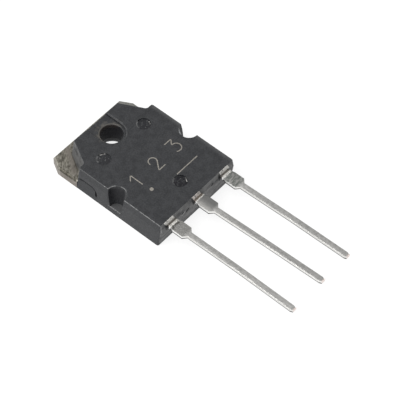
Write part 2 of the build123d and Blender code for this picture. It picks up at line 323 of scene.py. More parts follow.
class Painter(NodeGraph):
    """The nodes of one material, with the place in mm and the face direction at hand."""

    shake_scale: float = 4000.0
    shake_reach: float = 0.12

    def __init__(self, material: bpy.types.Material, effects: Effects) -> None:
        """Starts a material.

        Args:
            material: the material to fill.
            effects: the shared node groups.
        """
        super().__init__(material.node_tree)
        self.effects = effects
        self.shader = self.add("ShaderNodeBsdfPrincipled")
        self.add("ShaderNodeOutputMaterial", {"Surface": self.shader.outputs[0]})
        self.place = self.add("ShaderNodeTexCoord").outputs["Object"]
        self.x, self.y, self.z = self.axes(self.vector(Calc.MULTIPLY, self.place, (1 / MM,) * 3))
        facing = self.add("ShaderNodeNewGeometry").outputs["True Normal"]
        _, self.facing_y, self.facing_z = self.axes(facing)

    @cached_property
    def shaken(self) -> Socket:
        """The place with a small shake, so that what is drawn on it gets ragged edges.

        Returns:
            The shaken place.
        """
        cloud = self.add("ShaderNodeTexNoise", {"Vector": self.place, "Scale": self.shake_scale})
        shake = self.vector(Calc.SUBTRACT, cloud.outputs["Color"], (0.5, 0.5, 0.5))
        shake = self.vector(Calc.MULTIPLY, shake, (self.shake_reach * MM,) * 3)
        return self.vector(Calc.ADD, self.place, shake)

    @cached_property
    def upright(self) -> Socket:
        """Masks walls."""
        return self.remap(self.facing_z, 0.5, 0.3)

    @cached_property
    def levelness(self) -> Socket:
        """1 on faces that lie flat, either way up, and 0 on those that stand upright."""
        return self.calc(Calc.SIZE, self.facing_z)

    def leaned(self, lean: float, level: float) -> Socket:
        """Shears the place along X by a share of its height over a level in mm."""
        shift = self.calc(Calc.MULTIPLY, self.calc(Calc.SUBTRACT, self.z, level), lean * MM)
        return self.vector(Calc.ADD, self.place, self.add("ShaderNodeCombineXYZ", {0: shift}).outputs[0])

    def stretched(self, stretch: Point, turn: float = 0.0) -> Socket:
        """Draws the place out, so that a pattern gets longer along axes turned about Z by some degrees."""
        feeds = {"Vector": self.place, "Rotation": (0.0, 0.0, math.radians(turn)), "Scale": stretch}
        return self.add("ShaderNodeMapping", feeds, vector_type="TEXTURE").outputs[0]

    def product(self, *values: Feed) -> Socket:
        """Multiplies masks."""
        return self.chain(Calc.MULTIPLY, *values)

    def either(self, *values: Feed) -> Socket:
        """Takes the highest of several masks."""
        return self.chain(Calc.HIGHEST, *values)

    def band(self, value: Feed, low: float, high: float, soft: float) -> Socket:
        """Masks where a value lies between two limits, and fades over a soft margin."""
        return self.product(self.remap(value, low - soft, low), self.remap(value, high + soft, high))

    def swing(self, noise: Feed, low: float = 0.0, high: float = 1.0, reach: float = 0.2) -> Socket:
        """Spreads noise, within its reach about 0.5, from low to high."""
        return self.remap(noise, 0.5 - reach, 0.5 + reach, low, high)

    def layers(self, colour: Feed, layers: Sequence[Layer]) -> Socket:
        """Lays colours over each other.

        Args:
            colour: the ground.
            layers: masks and their colours, in the order in which they are laid on.

        Returns:
            The final colour.
        """
        for mask, ink in layers:
            colour = self.mix(mask, colour, ink)
        return colour

    def box(self, centre: Point, half: Point, soft: float, place: Socket | None = None) -> Socket:
        """Masks a box with a soft margin, all in mm, at the place itself or at another that is given."""
        feeds = {"Vector": place or self.place, "Centre": metres(centre), "Half": metres(half), "Soft": MM * soft}
        return self.add("ShaderNodeGroup", feeds, node_tree=self.effects.box_mask).outputs["Mask"]

    def round_mask(self, part: Round, centre: Point, radius: float, width: float) -> Socket:
        """Masks a ring or disc about an upright axis, with a margin of some width, all in mm."""
        feeds = {"Vector": self.place, "Centre": metres(centre), "Radius": MM * radius, "Width": MM * width}
        return self.add("ShaderNodeGroup", feeds, node_tree=self.effects.ring_mask).outputs[part.value]

    def stroke(self, line: Stroke, keep: Point = EVEN) -> Socket:
        """Masks a bent line.

        Args:
            line: the line.
            keep: 1 for each axis along which the distance counts.

        Returns:
            The mask.
        """
        runs = []
        for start, stop in zip(line.points, line.points[1:]):
            ends = {"Start": metres(start), "Stop": metres(stop)}
            feeds = {"Vector": self.shaken, **ends, "Keep": keep, "Width": MM * line.width}
            runs.append(self.add("ShaderNodeGroup", feeds, node_tree=self.effects.stroke_mask).outputs["Mask"])
        covers = [self.patches(line.cover)] if line.cover else []
        return self.product(self.either(*runs), *covers, line.strength)

    def strokes(self, lines: Sequence[Stroke], keep: Point = EVEN) -> Socket:
        """Masks several bent lines."""
        return self.either(*[self.stroke(line, keep) for line in lines])

    def grain(self, scale: float, stretch: Point = EVEN, turn: float = 0.0) -> tuple[Socket, Socket]:
        """Gives fine and coarse grain.

        Args:
            scale: cells in a metre.
            stretch: how many times longer it gets along each axis.
            turn: angle of the axes about Z in degrees.

        Returns:
            Fine and coarse grain.
        """
        feeds = {"Vector": self.stretched(stretch, turn), "Scale": scale}
        node = self.add("ShaderNodeGroup", feeds, node_tree=self.effects.grain)
        return node.outputs["Fine"], node.outputs["Coarse"]

    def patches(self, cover: Patchy) -> Socket:
        """Masks the patches of a broken cover.

        Args:
            cover: the cover.

        Returns:
            The mask.
        """
        feeds = {"Vector": self.stretched(cover.stretch), "Scale": cover.scale}
        feeds.update({"Start": cover.start, "Stop": cover.stop})
        node = self.add("ShaderNodeGroup", feeds, node_tree=self.effects.patches)
        return self.product(node.outputs["Mask"], cover.strength)

    def dress(
        self,
        colour: Feed,
        roughness: Feed,
        height: Feed,
        depth: float,
        metallic: Feed = 0.0,
        specular: float = 0.5,
    ) -> None:
        """Feeds the shader.

        Args:
            colour: base colour.
            roughness: roughness.
            height: relief, from 0 to 1.
            depth: depth of the relief in mm.
            metallic: metallic share.
            specular: strength of the surface's gloss.
        """
        bump = self.add("ShaderNodeBump", {"Strength": 1.0, "Distance": MM * depth, "Height": height})
        feeds = {"Base Color": colour, "Roughness": roughness, "Metallic": metallic}
        feeds.update({"Normal": bump.outputs[0], "Specular IOR Level": specular})
        for name, source in feeds.items():
            self.feed(self.shader.inputs[name], source)


@dataclass(frozen=True)
class Finish:
    """A procedural material; each kind paints its own nodes."""

    name: str

    def make(self, effects: Effects) -> bpy.types.Material:
        """Makes the material.

        Args:
            effects: the shared node groups.

        Returns:
            The material.
        """
        material = bpy.data.materials.new(self.name)
        material.use_nodes = True
        self.paint(Painter(material, effects))
        return material

    def paint(self, painter: Painter) -> None:
        """Adds the finish's own nodes."""
        raise NotImplementedError


@dataclass(frozen=True)
class MouldingFinish(Finish):
    """Black epoxy with fine grain, rubbed rims, painted shade and highlights, and the traces of its mould."""

    dark: Tone = tone(40, 41, 43)
    light: Tone = tone(55, 56, 58)
    wear_and_highlight: Tone = tone(150, 150, 150)
    strip: Tone = tone(212, 210, 205)
    tarnished: Tone = tone(204, 197, 191)
    dust: Tone = tone(104, 99, 91)
    rust: Tone = tone(66, 54, 46)
    pale: Tone = tone(98, 98, 98)
    # dark tone for pits and dirt, and for painted shade in the notch, hole, channel step, pockets and root clefts
    pit_and_shade: Tone = tone(12, 12, 18)
    glint_tint: Tone = tone(190, 197, 205)
    grain_scale: float = 5200.0
    specular: float = 0.3
    rough: Span = (0.46, 0.62)
    polish: float = 0.12
    relief: float = 0.009
    rim_depth: Span = (0.12, 0.08)
    dimple_depth: Span = (0.2, 0.16)
    channel_depth: Span = (0.35, 0.3)
    half_width: float = 7.45
    end_y: float = -9.55
    hole_y: float = 6.0
    hole_radius: float = 1.6
    nose_light_cover: Patchy = Patchy(900.0, 0.2, 0.6, strength=0.7)
    end_light_cover: Patchy = Patchy(1400.0, 0.28, 0.62, (3.0, 1.0, 1.0))
    hole_specks: Patchy = Patchy(1800.0, 0.44, 0.66, strength=0.4)
    notch_y: float = -1.55
    notch_radius: float = 1.45
    notch_floor: float = 1.15
    notch_bites: Patchy = Patchy(2200.0, 0.3, 0.55, strength=0.65)
    bitten_arcs: tuple[tuple[Point, Point], ...] = (
        ((-6.9, -0.25, FRONT_LEVEL), (0.5, 0.3, 0.2)),
        ((-5.92, -1.68, FRONT_LEVEL), (0.2, 0.42, 0.2)),
    )
    notch_wear: tuple[Stroke, ...] = (
        Stroke(((-7.58, -0.25, 1.15), (-7.58, -2.3, 1.15)), 0.12, 0.7, Patchy(2500.0, 0.3, 0.5)),
        Stroke(
            ((-7.1, -0.45, 1.15), (-6.58, -0.67, 1.15), (-6.22, -1.08, 1.15)),
            0.2,
            0.3,
            Patchy(2600.0, 0.3, 0.6),
        ),
    )
    far_polish_glint: Stroke = Stroke(((6.4, -0.55, 4.35), (6.6, -0.4, 3.6), (6.9, -0.28, 2.7)), 0.6)
    dimples: tuple[Point, ...] = ((-4.07, 3.73, FRONT_LEVEL), (4.07, 3.73, FRONT_LEVEL), (0.0, -6.48, FRONT_LEVEL))
    dimple_radius: float = 1.02
    dimple_dirt: tuple[float, ...] = (0.55, 0.7, 0.95)
    dirt_cover: Patchy = Patchy(2400.0, 0.74, 0.48)
    rim_flecks: Patchy = Patchy(3400.0, 0.3, 0.5, strength=0.6)
    floor_flecks: Patchy = Patchy(3800.0, 0.58, 0.7, strength=0.3)
    glint_cover: Patchy = Patchy(5600.0, 0.4, 0.55)
    dimple_glints: tuple[Stroke, ...] = (
        Stroke(((-3.87, 4.66, 0.0), (-3.27, 4.28, 0.0)), 0.12, 0.45),
        Stroke(((4.69, 3.13, 0.0), (4.91, 3.53, 0.0)), 0.12, 0.45),
        Stroke(((0.62, -7.12, 0.0), (0.88, -6.64, 0.0)), 0.12, 0.9),
    )
    outer_strips: tuple[Span, ...] = ((-5.76, 0.86), (5.5, 0.84))
    middle_strip: Span = (-0.24, 0.7)
    strip_level: float = 4.25
    strip_lean: float = 0.4
    strip_cover: Patchy = Patchy(3400.0, 0.22, 0.5, (1.0, 1.0, 3.0), 0.95)
    smear_cover: Patchy = Patchy(3000.0, 0.35, 0.58)
    smears: tuple[Stroke, ...] = (
        Stroke(((-3.1, 0.0, 2.8), (-2.65, 0.0, 3.1)), 0.28, 0.75),
        Stroke(((-3.5, 0.0, 3.9), (-3.35, 0.0, 4.2)), 0.2, 0.35),
        Stroke(((1.75, 0.0, 3.2), (2.3, 0.0, 3.5)), 0.22, 0.5),
        Stroke(((-7.5, 0.0, 2.4), (-7.42, 0.0, 4.3)), 0.2, 0.45),
    )
    deep_pit: Stroke = Stroke(((-2.33, 0.0, 2.95), (-1.95, 0.0, 3.05)), 0.4)
    pits: tuple[Stroke, ...] = (
        Stroke(((-3.28, 0.0, 3.13), (-3.05, 0.0, 3.33)), 0.18),
        Stroke(((2.85, 0.0, 3.52), (3.08, 0.0, 3.68)), 0.18),
        # painted shade: the clefts beside the roots of the leads
        *[
            Stroke(((root - 1.08, 0.0, 4.0), (root - 0.85, 0.0, 3.0)), 0.32, 0.65)
            for root in (-LEAD_PITCH, 0.0, LEAD_PITCH)
        ],
    )
    pocket_depths: Span = (6.5, 7.54)
    crown: Stroke = Stroke(
        ((0.0, 5.0, 2.62), (0.0, 4.5, 2.75), (0.0, 3.0, 2.75), (0.0, 2.58, 2.67), (0.0, 2.3, 2.48)), 0.8
    )
    toe: Stroke = Stroke(((0.0, 2.3, 2.48), (0.0, 2.0, 2.1), (0.0, 1.9, 1.65), (0.0, 1.9, 1.2)), 0.55)
    edge_wear: tuple[Stroke, ...] = (
        Stroke(((-7.44, -3.0, 0.0), (-7.44, -9.4, 0.0)), 0.07, 0.7, Patchy(1900.0, 0.34, 0.54)),
        Stroke(((-7.44, 5.1, 0.0), (-7.44, -0.1, 0.0)), 0.06, 0.22),
        Stroke(((-7.44, -2.95, 0.0), (-7.54, -3.4, 0.0)), 0.14, 0.6),
        Stroke(((-7.44, 0.75, 0.0), (-7.44, 0.05, 0.0)), 0.1, 0.7, Patchy(3200.0, 0.5, 0.6)),
        Stroke(((7.44, 5.1, 0.0), (7.44, -9.4, 0.0)), 0.8, 0.13),
    )
    channel_step_shade: Stroke = Stroke(((2.0, 8.8, 0.0), (1.96, 6.2, 0.0)), 0.11, 0.6)
    channel_highlight: Stroke = Stroke(((2.2, 8.7, 0.0), (2.2, 6.0, 0.0)), 0.11)
    channel_highlight_cover: Patchy = Patchy(1600.0, 0.3, 0.55, strength=0.18)

    def paint(self, painter: Painter) -> None:
        """Paints the grain and then each trace over it.

        Args:
            painter: the material's nodes.
        """
        fine, coarse = painter.grain(self.grain_scale)
        ground = painter.mix(painter.swing(painter.between(0.4, fine, coarse), reach=0.14), self.dark, self.light)
        arch_shade = self._arch_shade(painter)
        pits = self._pits_and_root_shade(painter)
        hole = self._hole_shade(painter)
        polish_glint = self._polish_glint(painter)
        traces = [
            # painted light on the nose walls, the end wall and the notch floors
            (self._painted_wall_light(painter), self.pale),
            (self._hole_dust(painter), self.dust),
            # painted shade: the near notch, the channel's step and the hole's bore; dirt on the dimples' floors
            (painter.either(self._shade_and_dirt(painter), painter.product(hole, 0.95)), self.pit_and_shade),
            # painted shade under the side pockets' arched rims
            (arch_shade, self.pit_and_shade),
            (self._hole_rust(painter), self.rust),
            (self._dimple_flecks(painter), self.wear_and_highlight),
            # painted glints on the dimples' rims
            (self._glints(painter), self.strip),
            (painter.either(*[self._strip(painter, *size) for size in self.outer_strips]), self.strip),
            (self._strip(painter, *self.middle_strip), self.tarnished),
            (self._end_smears(painter), self.wear_and_highlight),
            # pits, and painted shade beside the roots of the leads
            (pits, self.pit_and_shade),
            (self._wear(painter), self.wear_and_highlight),
            # painted reflection on the far notch's polished wall
            (painter.product(polish_glint, 0.3), self.glint_tint),
        ]
        # painted shade: the pocket shade, the root shade and the pits turn metallic and fully rough, so they
        # render darker
        shade_and_pits = painter.either(arch_shade, pits)
        rough = painter.swing(coarse, *self.rough, reach=0.25)
        rough = painter.between(painter.either(shade_and_pits, painter.product(hole, 0.35)), rough, 1.0)
        rough = painter.between(polish_glint, rough, self.polish)
        height = painter.between(0.3, fine, coarse)
        painter.dress(painter.layers(ground, traces), rough, height, self.relief, shade_and_pits, self.specular)

    def _by_depth(self, painter: Painter, start: float, stop: float) -> Socket:
        """Masks by the depth under the front face, from 0 at the start to 1 at the stop, in mm."""
        return painter.remap(painter.z, FRONT_LEVEL - start, FRONT_LEVEL - stop)

    def _about_hole(self, painter: Painter, part: Round, beyond: float, width: float) -> Socket:
        """Masks a ring or disc about the hole that reaches beyond its radius, with a margin, in mm."""
        return painter.round_mask(part, (0.0, self.hole_y, 0.0), self.hole_radius + beyond, width)

    def _end_wall(self, painter: Painter) -> Socket:
        """Masks the wall that the leads come out of."""
        outside = painter.remap(painter.y, self.end_y + 0.35, self.end_y + 0.2)
        return painter.product(painter.remap(painter.facing_y, -0.5, -0.7), outside)

    def _painted_wall_light(self, painter: Painter) -> Socket:
        """Painted light on the slanted walls of the nose, the end wall and the notches' floors, mottled on the
        walls.

        Args:
            painter: the material's nodes.

        Returns:
            The mask.
        """
        slanted = painter.band(painter.facing_y, 0.3, 0.7, 0.1)
        steep = painter.remap(painter.facing_z, 0.4, 0.3)
        nose = painter.product(slanted, steep, painter.patches(self.nose_light_cover))
        end = painter.product(self._end_wall(painter), painter.patches(self.end_light_cover))
        notch = painter.box((0.0, self.notch_y, self.notch_floor), (9.0, 1.6, 0.03), 0.05)
        # painted light: lightens the notch floors
        ledge = painter.product(notch, painter.remap(painter.facing_z, 0.7, 0.9), 0.4)
        return painter.either(nose, end, ledge)

    def _hole_dust(self, painter: Painter) -> Socket:
        """Dust about the hole and on the floor of the channel.

        Args:
            painter: the material's nodes.

        Returns:
            The mask.
        """
        lip = painter.product(self._about_hole(painter, Round.RING, 0.16, 0.16), 0.45)
        around = self._about_hole(painter, Round.DISC, 0.3, 0.8)
        dust = painter.either(lip, painter.product(around, painter.patches(self.hole_specks)))
        rear = painter.remap(painter.y, self.hole_y - 0.6, self.hole_y + 0.4)
        return painter.product(dust, rear, self._by_depth(painter, *self.channel_depth))

    def _hole_rust(self, painter: Painter) -> Socket:
        """Brown tint on the bore, just under its rear lip.

        Args:
            painter: the material's nodes.

        Returns:
            The mask.
        """
        bore = self._about_hole(painter, Round.DISC, 0.04, 0.06)
        rear = painter.remap(painter.y, self.hole_y, self.hole_y + 0.8)
        return painter.product(bore, rear, painter.band(painter.z, 3.85, 4.25, 0.3), 0.3)

    def _hole_shade(self, painter: Painter) -> Socket:
        """Masks the bore and its flare at the back, which take painted shade.

        Args:
            painter: the material's nodes.

        Returns:
            The mask.
        """
        bore = self._about_hole(painter, Round.DISC, 0.04, 0.06)
        bore = painter.product(bore, self._by_depth(painter, 0.3, 0.45))
        flare = self._about_hole(painter, Round.DISC, 0.7, 0.06)
        return painter.either(bore, painter.product(flare, painter.remap(painter.z, 2.4, 2.2)))

    def _shade_and_dirt(self, painter: Painter) -> Socket:
        """Painted shade in the near notch and along the channel's step, and dark dirt on the dimples' floors.

        Args:
            painter: the material's nodes.

        Returns:
            The mask.
        """
        axis = (-self.half_width, self.notch_y, 0.0)
        lobe = painter.round_mask(Round.DISC, axis, self.notch_radius - 0.02, 0.06)
        below = self._by_depth(painter, 0.1, 0.7)
        turned = painter.remap(painter.y, self.notch_y - 0.9, self.notch_y + 0.1, 0.05, 0.7)
        upper = painter.remap(painter.z, self.notch_floor, self.notch_floor + 1.8, 0.2, 1.0)
        # painted shade: the near notch's wall, darkest high up and towards the tab
        cleft = painter.product(lobe, painter.upright, below, turned, upper)
        discs = [
            painter.product(painter.round_mask(Round.DISC, spot, self.dimple_radius, 0.06), dirt)
            for spot, dirt in zip(self.dimples, self.dimple_dirt)
        ]
        sunk = self._by_depth(painter, 0.02, 0.06)
        floors = painter.product(painter.either(*discs), sunk, painter.patches(self.dirt_cover))
        # painted shade: a dark line along the foot of the channel's step
        step_shade = painter.stroke(self.channel_step_shade, IN_PLAN)
        step_shade = painter.product(step_shade, self._by_depth(painter, *self.channel_depth))
        return painter.either(cleft, floors, step_shade)

    def _arch_shade(self, painter: Painter) -> Socket:
        """Painted shade under the arched rims of the side pockets, darkest towards the leads.

        Args:
            painter: the material's nodes.

        Returns:
            The mask.
        """
        inside = painter.band(painter.calc(Calc.SIZE, painter.x), *self.pocket_depths, 0.04)
        crown = painter.remap(painter.stroke(self.crown, FROM_SIDE), 0.04, 0.26, 0.0, 0.5)
        toe = painter.remap(painter.stroke(self.toe, FROM_SIDE), 0.07, 0.38)
        return painter.product(painter.either(crown, toe), inside)

    def _dimple_flecks(self, painter: Painter) -> Socket:
        """Light flecks in the dimples and along their rear rims.

        Args:
            painter: the material's nodes.

        Returns:
            The mask.
        """
        rims = []
        floors = []
        for x, y, level in self.dimples:
            rim = painter.round_mask(Round.RING, (x, y, level), self.dimple_radius - 0.04, 0.12)
            rear = painter.box((x - 0.6, y + 0.65, level), (0.3, 0.3, 0.3), 0.3)
            rims.append(painter.product(rim, rear))
            floors.append(painter.round_mask(Round.DISC, (x, y, level), self.dimple_radius - 0.1, 0.1))
        marks = painter.either(
            painter.product(painter.either(*rims), painter.patches(self.rim_flecks)),
            painter.product(painter.either(*floors), painter.patches(self.floor_flecks)),
        )
        return painter.product(marks, self._by_depth(painter, *self.dimple_depth))

    def _glints(self, painter: Painter) -> Socket:
        """Painted glints on the rims of the dimples."""
        glint_mask = painter.product(painter.strokes(self.dimple_glints, IN_PLAN), painter.patches(self.glint_cover))
        return painter.product(glint_mask, self._by_depth(painter, *self.dimple_depth))

    def _strip(self, painter: Painter, middle: float, half: float) -> Socket:
        """Pale patch on the end wall over a lead.

        Args:
            painter: the material's nodes.
            middle: place of its middle along X in mm.
            half: half its width in mm.

        Returns:
            The mask.
        """
        leaned = painter.leaned(self.strip_lean, self.strip_level)
        patch = painter.box((middle, self.end_y, self.strip_level), (half, 0.4, 0.34), 0.08, leaned)
        return painter.product(patch, painter.patches(self.strip_cover), self._end_wall(painter))

    def _end_smears(self, painter: Painter) -> Socket:
        """Light smears and flecks on the end wall."""
        smears = painter.product(painter.strokes(self.smears, FROM_END), painter.patches(self.smear_cover))
        return painter.product(smears, self._end_wall(painter))

    def _pits_and_root_shade(self, painter: Painter) -> Socket:
        """Small pits in the end wall, and painted shade in the clefts beside the roots of the leads.

        Args:
            painter: the material's nodes.

        Returns:
            The mask.
        """
        deep = painter.remap(painter.stroke(self.deep_pit, FROM_END), 0.2, 0.7)
        pits = painter.either(deep, painter.strokes(self.pits, FROM_END))
        return painter.product(pits, self._end_wall(painter))

    def _wear(self, painter: Painter) -> Socket:
        """Rubbed rims of the front face, near notch and its ledge and long edges, and a painted highlight along
        the channel's step and round its end.

        Args:
            painter: the material's nodes.

        Returns:
            The mask.
        """
        rim = painter.product(painter.band(painter.facing_z, 0.45, 0.9, 0.08), 0.1)
        axis = (-self.half_width, self.notch_y, 0.0)
        circle = painter.round_mask(Round.RING, axis, self.notch_radius + 0.03, 0.08)
        arcs = painter.either(*[painter.box(centre, half, 0.2) for centre, half in self.bitten_arcs])
        bitten = painter.product(circle, arcs, painter.patches(self.notch_bites))
        # painted highlight: the rim of the channel's step and its round end
        bend = painter.box((2.0, 5.0, FRONT_LEVEL), (1.2, 1.0, 0.2), 0.4)
        bend = painter.product(bend, self._about_hole(painter, Round.RING, 0.5, 0.12))
        channel = painter.either(painter.stroke(self.channel_highlight, IN_PLAN), bend)
        channel = painter.product(channel, painter.patches(self.channel_highlight_cover))
        front = painter.either(rim, bitten, painter.strokes(self.edge_wear, IN_PLAN), channel)
        front = painter.product(front, self._by_depth(painter, *self.rim_depth))
        return painter.either(front, painter.strokes(self.notch_wear))

    def _polish_glint(self, painter: Painter) -> Socket:
        """Polished patch on the wall of the far notch: glossy, with a painted reflection in its colour."""
        return painter.product(painter.remap(painter.stroke(self.far_polish_glint), 0.1, 0.55), painter.upright)


@dataclass(frozen=True)
class LeadFinish(Finish):
    """Copper strip with a dipped tin coat that starts a little way out of the moulding."""

    bright: Tone = tone(240, 239, 236)
    dull: Tone = tone(208, 207, 204)
    grey: Tone = tone(142, 141, 138)
    green: Tone = tone(118, 122, 118)
    shaded: Tone = tone(122, 122, 121)
    cavity: Tone = tone(84, 82, 78)
    lump_and_gleam: Tone = tone(204, 202, 197)
    bare: Tone = tone(128, 124, 119)
    gleam: Tone = tone(248, 248, 246)
    lower_dark: Tone = tone(74, 73, 71)
    sheen: Tone = tone(226, 225, 222)
    copper: Tone = tone(240, 226, 220)
    speck: Tone = tone(92, 91, 88)
    brush_scale: float = 9000.0
    brush_stretch: Point = (1.0, 7.0, 1.0)
    tin_rough: Span = (0.28, 0.4)
    crust_rough: float = 0.55
    tin_relief: float = 0.003
    tin_start: float = -9.96
    wide_end: float = -12.85
    outer_from: float = 2.7
    shaft_half: float = 0.43
    lead_bottom: float = 3.34
    tarnish: Patchy = Patchy(4200.0, 0.45, 0.65, strength=0.3)
    grit: Patchy = Patchy(6500.0, 0.34, 0.6)
    specks: Patchy = Patchy(9000.0, 0.54, 0.64, strength=0.6)
    combed: Patchy = Patchy(6500.0, 0.36, 0.6, (3.5, 1.0, 1.0), 0.95)
    lumpy: Patchy = Patchy(3600.0, 0.42, 0.54)
    pocket: Stroke = Stroke(
        ((-6.2, -10.6, 0.0), (-5.88, -10.38, 0.0), (-5.4, -10.38, 0.0), (-5.0, -10.5, 0.0)),
        0.3,
        cover=Patchy(4600.0, 0.3, 0.55),
    )

    def paint(self, painter: Painter) -> None:
        """Paints the coat."""
        painter.dress(*self.coat(painter))

    def coat(self, painter: Painter) -> tuple[Socket, Socket, Socket, float, Socket]:
        """Paints brushed tin, grey crust on the wide parts, painted sheen on the sides, sides darker along their
        lower band, painted shade on the faces that look down, and bare metal at the root.

        Args:
            painter: the material's nodes.

        Returns:
            Colour, roughness, relief, depth of the relief in mm, and metallic share.
        """
        brush, cloud = painter.grain(self.brush_scale, self.brush_stretch)
        wide = self._wide(painter)
        crusts_and_shade = self._crusts_and_shade(painter)
        crust = painter.either(*[mask for mask, _ in crusts_and_shade])
        lumps = self._lumps_and_gleam(painter)
        edge = painter.band(painter.levelness, 0.4, 0.93, 0.05)
        side = painter.remap(painter.levelness, 0.75, 0.4)
        start = painter.remap(wide, 0.0, 1.0, self.lead_bottom + 0.24, self.lead_bottom + 0.3)
        low = painter.remap(painter.z, start, painter.calc(Calc.SUBTRACT, start, 0.08))
        under = painter.band(painter.facing_z, -0.93, -0.35, 0.06)
        cut = self._cut_end(painter)
        traces = [
            (painter.patches(self.tarnish), self.grey),
            # painted shade: the right half of each lead is greyer
            (painter.product(self._shaded_half(painter), 0.28), self.grey),
            *crusts_and_shade,
            # lumps of tin, and the painted gleam on the middle lead
            (lumps, self.lump_and_gleam),
            # painted shade: dulls the rounded top edges of the shafts
            (painter.product(edge, painter.remap(wide, 0.0, 1.0, 0.8, 0.0)), self.grey),
            (side, painter.mix(wide, self.sheen, self.gleam)),
            # darker along the lower band of each side
            (painter.product(side, low), self.lower_dark),
            # painted shade on the faces that look down
            (painter.product(under, 0.75), self.lower_dark),
            (cut, self.copper),
            (painter.remap(painter.y, self.tin_start - 0.02, self.tin_start + 0.03), self.bare),
        ]
        colour = painter.layers(painter.mix(painter.swing(brush), self.dull, self.bright), traces)
        rough = painter.swing(cloud, *self.tin_rough)
        rough = painter.between(painter.either(crust, edge), rough, self.crust_rough)
        metal = painter.remap(painter.either(lumps, cut), 0.0, 1.0, 1.0, 0.2)
        return colour, rough, painter.between(crust, brush, cloud), self.tin_relief, metal

    def _cut_end(self, painter: Painter) -> Socket:
        """Masks the cut ends of the leads, where the copper shows."""
        out = painter.remap(painter.y, self.wide_end - 4.0, self.wide_end - 5.0)
        return painter.product(out, painter.remap(painter.facing_y, -0.5, -0.8))

    def _sides(self, painter: Painter) -> tuple[Socket, Socket, Socket]:
        """Masks the first, middle and last lead.

        Args:
            painter: the material's nodes.

        Returns:
            The masks.
        """
        left = painter.remap(painter.x, 0.1 - self.outer_from, -self.outer_from)
        right = painter.remap(painter.x, self.outer_from - 0.1, self.outer_from)
        return left, painter.remap(painter.either(left, right), 1.0, 0.0), right

    def _shaded_half(self, painter: Painter) -> Socket:
        """Masks the right half of each lead, which gets painted shade.

        Args:
            painter: the material's nodes.

        Returns:
            The mask.
        """
        halves = []
        for middle, lead in zip((-LEAD_PITCH, 0.0, LEAD_PITCH), self._sides(painter)):
            across = painter.remap(painter.x, middle - self.shaft_half, middle + self.shaft_half)
            halves.append(painter.product(lead, across))
        return painter.either(*halves)

    def _wide(self, painter: Painter) -> Socket:
        """Masks the wide parts next to the moulding."""
        return painter.remap(painter.y, self.wide_end, self.wide_end + 0.6)

    def _crusts_and_shade(self, painter: Painter) -> list[Layer]:
        """Dull coat on the wide parts: mottled on the outer leads, a soft shade on the middle one.

        Args:
            painter: the material's nodes.

        Returns:
            Masks and their colours, in the order in which they are laid on.
        """
        left, middle, right = self._sides(painter)
        wide = self._wide(painter)
        by_root = painter.remap(painter.y, self.tin_start - 1.7, self.tin_start - 0.3, 0.75, 1.0)
        shade = painter.remap(painter.x, -0.9, 0.5, 0.25, 1.0)
        return [
            (painter.product(wide, 0.36), self.grey),
            (painter.product(left, painter.patches(self.grit), by_root, wide), self.grey),
            (painter.product(left, painter.patches(self.specks), by_root, wide), self.speck),
            (painter.product(right, painter.patches(self.combed), wide), self.green),
            # painted shade: the middle lead's wide part darkens towards +X
            (painter.product(middle, shade, wide, 0.9), self.shaded),
            (painter.product(painter.stroke(self.pocket, IN_PLAN), left), self.cavity),
        ]

    def _lumps_and_gleam(self, painter: Painter) -> Socket:
        """Thick dull edge of the tin on the outer leads, and a gleam on the middle one.

        Args:
            painter: the material's nodes.

        Returns:
            The mask.
        """
        left, middle, right = self._sides(painter)
        edge = painter.band(painter.y, self.tin_start - 0.3, self.tin_start, 0.08)
        lumps = painter.product(painter.either(left, right), edge, painter.patches(self.lumpy))
        # painted gleam: the middle lead's wide part is lighter towards -X
        gleam = painter.product(middle, self._wide(painter), painter.remap(painter.x, -0.1, -0.8), 0.35)
        return painter.either(lumps, gleam)


